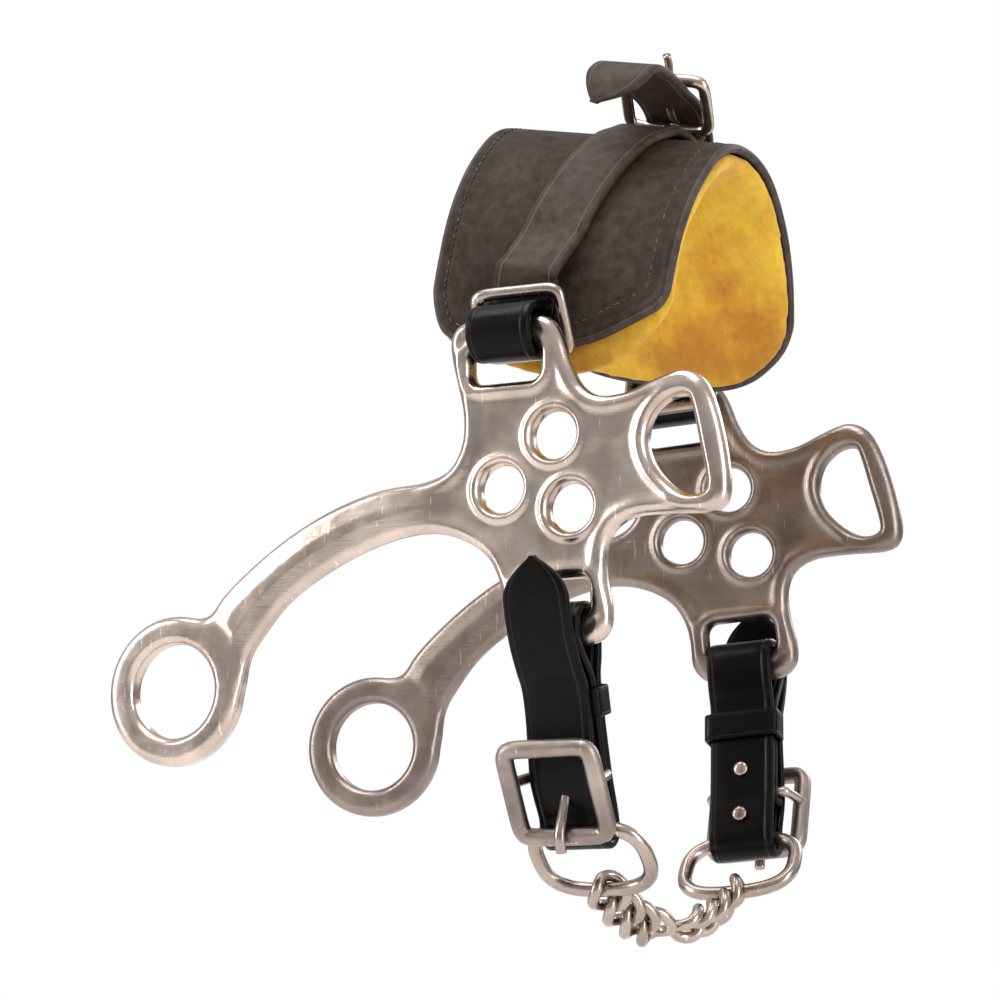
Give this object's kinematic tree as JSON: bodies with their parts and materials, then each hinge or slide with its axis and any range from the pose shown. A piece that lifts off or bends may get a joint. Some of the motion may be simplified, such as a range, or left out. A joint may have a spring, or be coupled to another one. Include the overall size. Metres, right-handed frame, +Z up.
{
  "type": "bitless hackamore",
  "caption": "Bitless hackamore: padded leather noseband on two cast cheek plates with rein rings and bridle eyes, and a curb chain on buckled straps.",
  "frame": {"origin": "underside of the padded noseband at its crest, where it rests on the nose", "axes": "+X from the rein rings to the bridle eyes, +Y from the near cheek to the far cheek, +Z up"},
  "size_m": [0.1928, 0.1438, 0.2494],
  "materials": {
    "metal": "polished cast metal with fine scratches",
    "dark_leather": "dark brown bridle leather, stitched, satin",
    "black_leather": "black bridle leather, glossy",
    "lining": "soft golden suede"
  },
  "bodies": {
    "noseband": {"noseband_leather": "dark_leather", "noseband_lining": "lining", "near_nose_strap": "dark_leather", "far_nose_strap": "dark_leather"},
    "nose_buckle": {"nose_buckle_frame": "metal"},
    "nose_tongue": {"nose_buckle_tongue": "metal"},
    "near_hanger": {"near_strap_fold": "black_leather"},
    "near_keeper_ring": {"near_keeper_ring": "metal"},
    "near_cheek": {"near_cheek_plate": "metal"},
    "near_curb": {"near_curb_strap": "black_leather", "near_upper_rivet": "metal", "near_lower_rivet": "metal"},
    "near_curb_keeper": {"near_curb_keeper": "black_leather"},
    "near_curb_buckle": {"near_curb_buckle_frame": "metal"},
    "near_curb_tongue": {"near_curb_buckle_tongue": "metal"},
    "near_ring": {"near_oval_ring": "metal"},
    "near_link_1": {"near_chain_link_1": "metal"},
    "near_link_2": {"near_chain_link_2": "metal"},
    "near_link_3": {"near_chain_link_3": "metal"},
    "near_link_4": {"near_chain_link_4": "metal"},
    "far_hanger": {"far_strap_fold": "black_leather"},
    "far_keeper_ring": {"far_keeper_ring": "metal"},
    "far_cheek": {"far_cheek_plate": "metal"},
    "far_curb": {"far_curb_strap": "black_leather", "far_upper_rivet": "metal", "far_lower_rivet": "metal"},
    "far_curb_keeper": {"far_curb_keeper": "black_leather"},
    "far_curb_buckle": {"far_curb_buckle_frame": "metal"},
    "far_curb_tongue": {"far_curb_buckle_tongue": "metal"},
    "far_ring": {"far_oval_ring": "metal"},
    "far_link_1": {"far_chain_link_1": "metal"},
    "far_link_2": {"far_chain_link_2": "metal"},
    "far_link_3": {"far_chain_link_3": "metal"},
    "far_link_4": {"far_chain_link_4": "metal"}
  },
  "joints": [
    {"name": "nose_buckle_lift", "type": "hinge", "parent": "noseband", "child": "nose_buckle", "pos_m": [0.01077, 0.006, 0.01316], "axis": [-0.9833, 0, 0.182], "range_deg": [0, 12]},
    {"name": "nose_tongue_lift", "type": "hinge", "parent": "nose_buckle", "child": "nose_tongue", "pos_m": [0.01077, 0.006, 0.01316], "axis": [-0.9833, 0, 0.182], "range_deg": [0, 8]},
    {"name": "near_lever", "type": "hinge", "parent": "noseband", "child": "near_hanger", "pos_m": [-0.01, -0.045, -0.0434], "axis": [0, 1, 0], "range_deg": [-5, 5], "stiffness_Nm_per_rad": 0.9, "springref_deg": 2.83},
    {"name": "near_keeper_ring_slide", "type": "slide", "parent": "near_hanger", "child": "near_keeper_ring", "axis": [0, 0, 1], "range_m": [-0.0006, 0.0004]},
    {"name": "near_cheek_swing", "type": "hinge", "parent": "near_hanger", "child": "near_cheek", "pos_m": [-0.01, -0.055, -0.0554], "axis": [-1, 0, 0], "range_deg": [-8, 6]},
    {"name": "near_curb_swing", "type": "hinge", "parent": "near_cheek", "child": "near_curb", "pos_m": [0.0044, -0.055, -0.138], "axis": [-1, 0, 0], "range_deg": [-15, 20]},
    {"name": "near_curb_keeper_slide", "type": "slide", "parent": "near_curb", "child": "near_curb_keeper", "axis": [0, 0.259, -0.9659], "range_m": [-0.001, 0.002]},
    {"name": "near_curb_buckle_tilt", "type": "hinge", "parent": "near_curb", "child": "near_curb_buckle", "pos_m": [0.0044, -0.04767, -0.17538], "axis": [-1, 0, 0], "range_deg": [-2, 2]},
    {"name": "near_curb_tongue_lift", "type": "hinge", "parent": "near_curb_buckle", "child": "near_curb_tongue", "pos_m": [0.0044, -0.04767, -0.17538], "axis": [-1, 0, 0], "range_deg": [-1, 8]},
    {"name": "near_ring_swing", "type": "hinge", "parent": "near_curb", "child": "near_ring", "pos_m": [0.0044, -0.0414, -0.18871], "axis": [-1, 0, 0], "range_deg": [-3, 3]},
    {"name": "near_link_1_swing", "type": "hinge", "parent": "near_ring", "child": "near_link_1", "pos_m": [0.0044, -0.02579, -0.20449], "axis": [-0.978, 0.2085, 0], "range_deg": [-6, 5]},
    {"name": "near_link_2_swing", "type": "hinge", "parent": "near_link_1", "child": "near_link_2", "pos_m": [0.00527, -0.02172, -0.20786], "axis": [-0.978, 0.2085, 0], "range_deg": [-3, 3]},
    {"name": "near_link_3_swing", "type": "hinge", "parent": "near_link_2", "child": "near_link_3", "pos_m": [0.00662, -0.01537, -0.2114], "axis": [-0.978, 0.2085, 0], "range_deg": [-3, 3]},
    {"name": "near_link_4_swing", "type": "hinge", "parent": "near_link_3", "child": "near_link_4", "pos_m": [0.00809, -0.00846, -0.21359], "axis": [-0.978, 0.2085, 0], "range_deg": [-3, 3]},
    {"name": "far_lever", "type": "hinge", "parent": "noseband", "child": "far_hanger", "pos_m": [-0.00985, 0.04496, -0.04343], "axis": [0, 1, 0], "range_deg": [-5, 5], "stiffness_Nm_per_rad": 0.9, "springref_deg": 1.96},
    {"name": "far_keeper_ring_slide", "type": "slide", "parent": "far_hanger", "child": "far_keeper_ring", "axis": [-0.0745, -0.0079, 0.9972], "range_m": [-0.0006, 0.0004]},
    {"name": "far_cheek_swing", "type": "hinge", "parent": "far_hanger", "child": "far_cheek", "pos_m": [-0.01, 0.055, -0.0554], "axis": [0.9917, 0.1045, 0.0749], "range_deg": [-8, 6]},
    {"name": "far_curb_swing", "type": "hinge", "parent": "far_cheek", "child": "far_curb", "pos_m": [0.01044, 0.05715, -0.13669], "axis": [0.9917, 0.1045, 0.0749], "range_deg": [-15, 20]},
    {"name": "far_curb_keeper_slide", "type": "slide", "parent": "far_curb", "child": "far_curb_keeper", "axis": [0.0991, -0.25, -0.9632], "range_m": [-0.001, 0.002]},
    {"name": "far_curb_buckle_tilt", "type": "hinge", "parent": "far_curb", "child": "far_curb_buckle", "pos_m": [0.01399, 0.05016, -0.17396], "axis": [0.9917, 0.1045, 0.0749], "range_deg": [-2, 2]},
    {"name": "far_curb_tongue_lift", "type": "hinge", "parent": "far_curb_buckle", "child": "far_curb_tongue", "pos_m": [0.01399, 0.05016, -0.17396], "axis": [0.9917, 0.1045, 0.0749], "range_deg": [-1, 8]},
    {"name": "far_ring_swing", "type": "hinge", "parent": "far_curb", "child": "far_ring", "pos_m": [0.01564, 0.04403, -0.18726], "axis": [0.9917, 0.1045, 0.0749], "range_deg": [-3, 3]},
    {"name": "far_link_1_swing", "type": "hinge", "parent": "far_ring", "child": "far_link_1", "pos_m": [0.01845, 0.02863, -0.20299], "axis": [0.978, -0.2085, 0], "range_deg": [-6, 5]},
    {"name": "far_link_2_swing", "type": "hinge", "parent": "far_link_1", "child": "far_link_2", "pos_m": [0.01758, 0.02456, -0.20636], "axis": [0.978, -0.2085, 0], "range_deg": [-3, 3]},
    {"name": "far_link_3_swing", "type": "hinge", "parent": "far_link_2", "child": "far_link_3", "pos_m": [0.01623, 0.01821, -0.2099], "axis": [0.978, -0.2085, 0], "range_deg": [-3, 3]},
    {"name": "far_link_4_swing", "type": "hinge", "parent": "far_link_3", "child": "far_link_4", "pos_m": [0.01476, 0.01129, -0.21209], "axis": [0.978, -0.2085, 0], "range_deg": [-3, 3]}
  ],
  "couplings": [
    {"joint": "near_link_1_swing", "follows": "near_cheek_swing", "ratio": 0.6},
    {"joint": "near_link_2_swing", "follows": "near_cheek_swing", "ratio": 0.25},
    {"joint": "near_link_3_swing", "follows": "near_cheek_swing", "ratio": 0.2},
    {"joint": "near_link_4_swing", "follows": "near_cheek_swing", "ratio": 0.2},
    {"joint": "near_curb_swing", "follows": "near_cheek_swing", "ratio": -2.2627},
    {"joint": "near_ring_swing", "follows": "near_cheek_swing", "ratio": 0.2127},
    {"joint": "far_link_1_swing", "follows": "near_cheek_swing", "ratio": 0.6},
    {"joint": "far_link_2_swing", "follows": "near_cheek_swing", "ratio": 0.25},
    {"joint": "far_link_3_swing", "follows": "near_cheek_swing", "ratio": 0.2},
    {"joint": "far_link_4_swing", "follows": "near_cheek_swing", "ratio": 0.2},
    {"joint": "far_curb_swing", "follows": "near_cheek_swing", "ratio": -2.2627},
    {"joint": "far_ring_swing", "follows": "near_cheek_swing", "ratio": 0.2127},
    {"joint": "far_cheek_swing", "follows": "near_cheek_swing", "ratio": 1},
    {"joint": "far_lever", "follows": "near_lever", "ratio": 1}
  ]
}
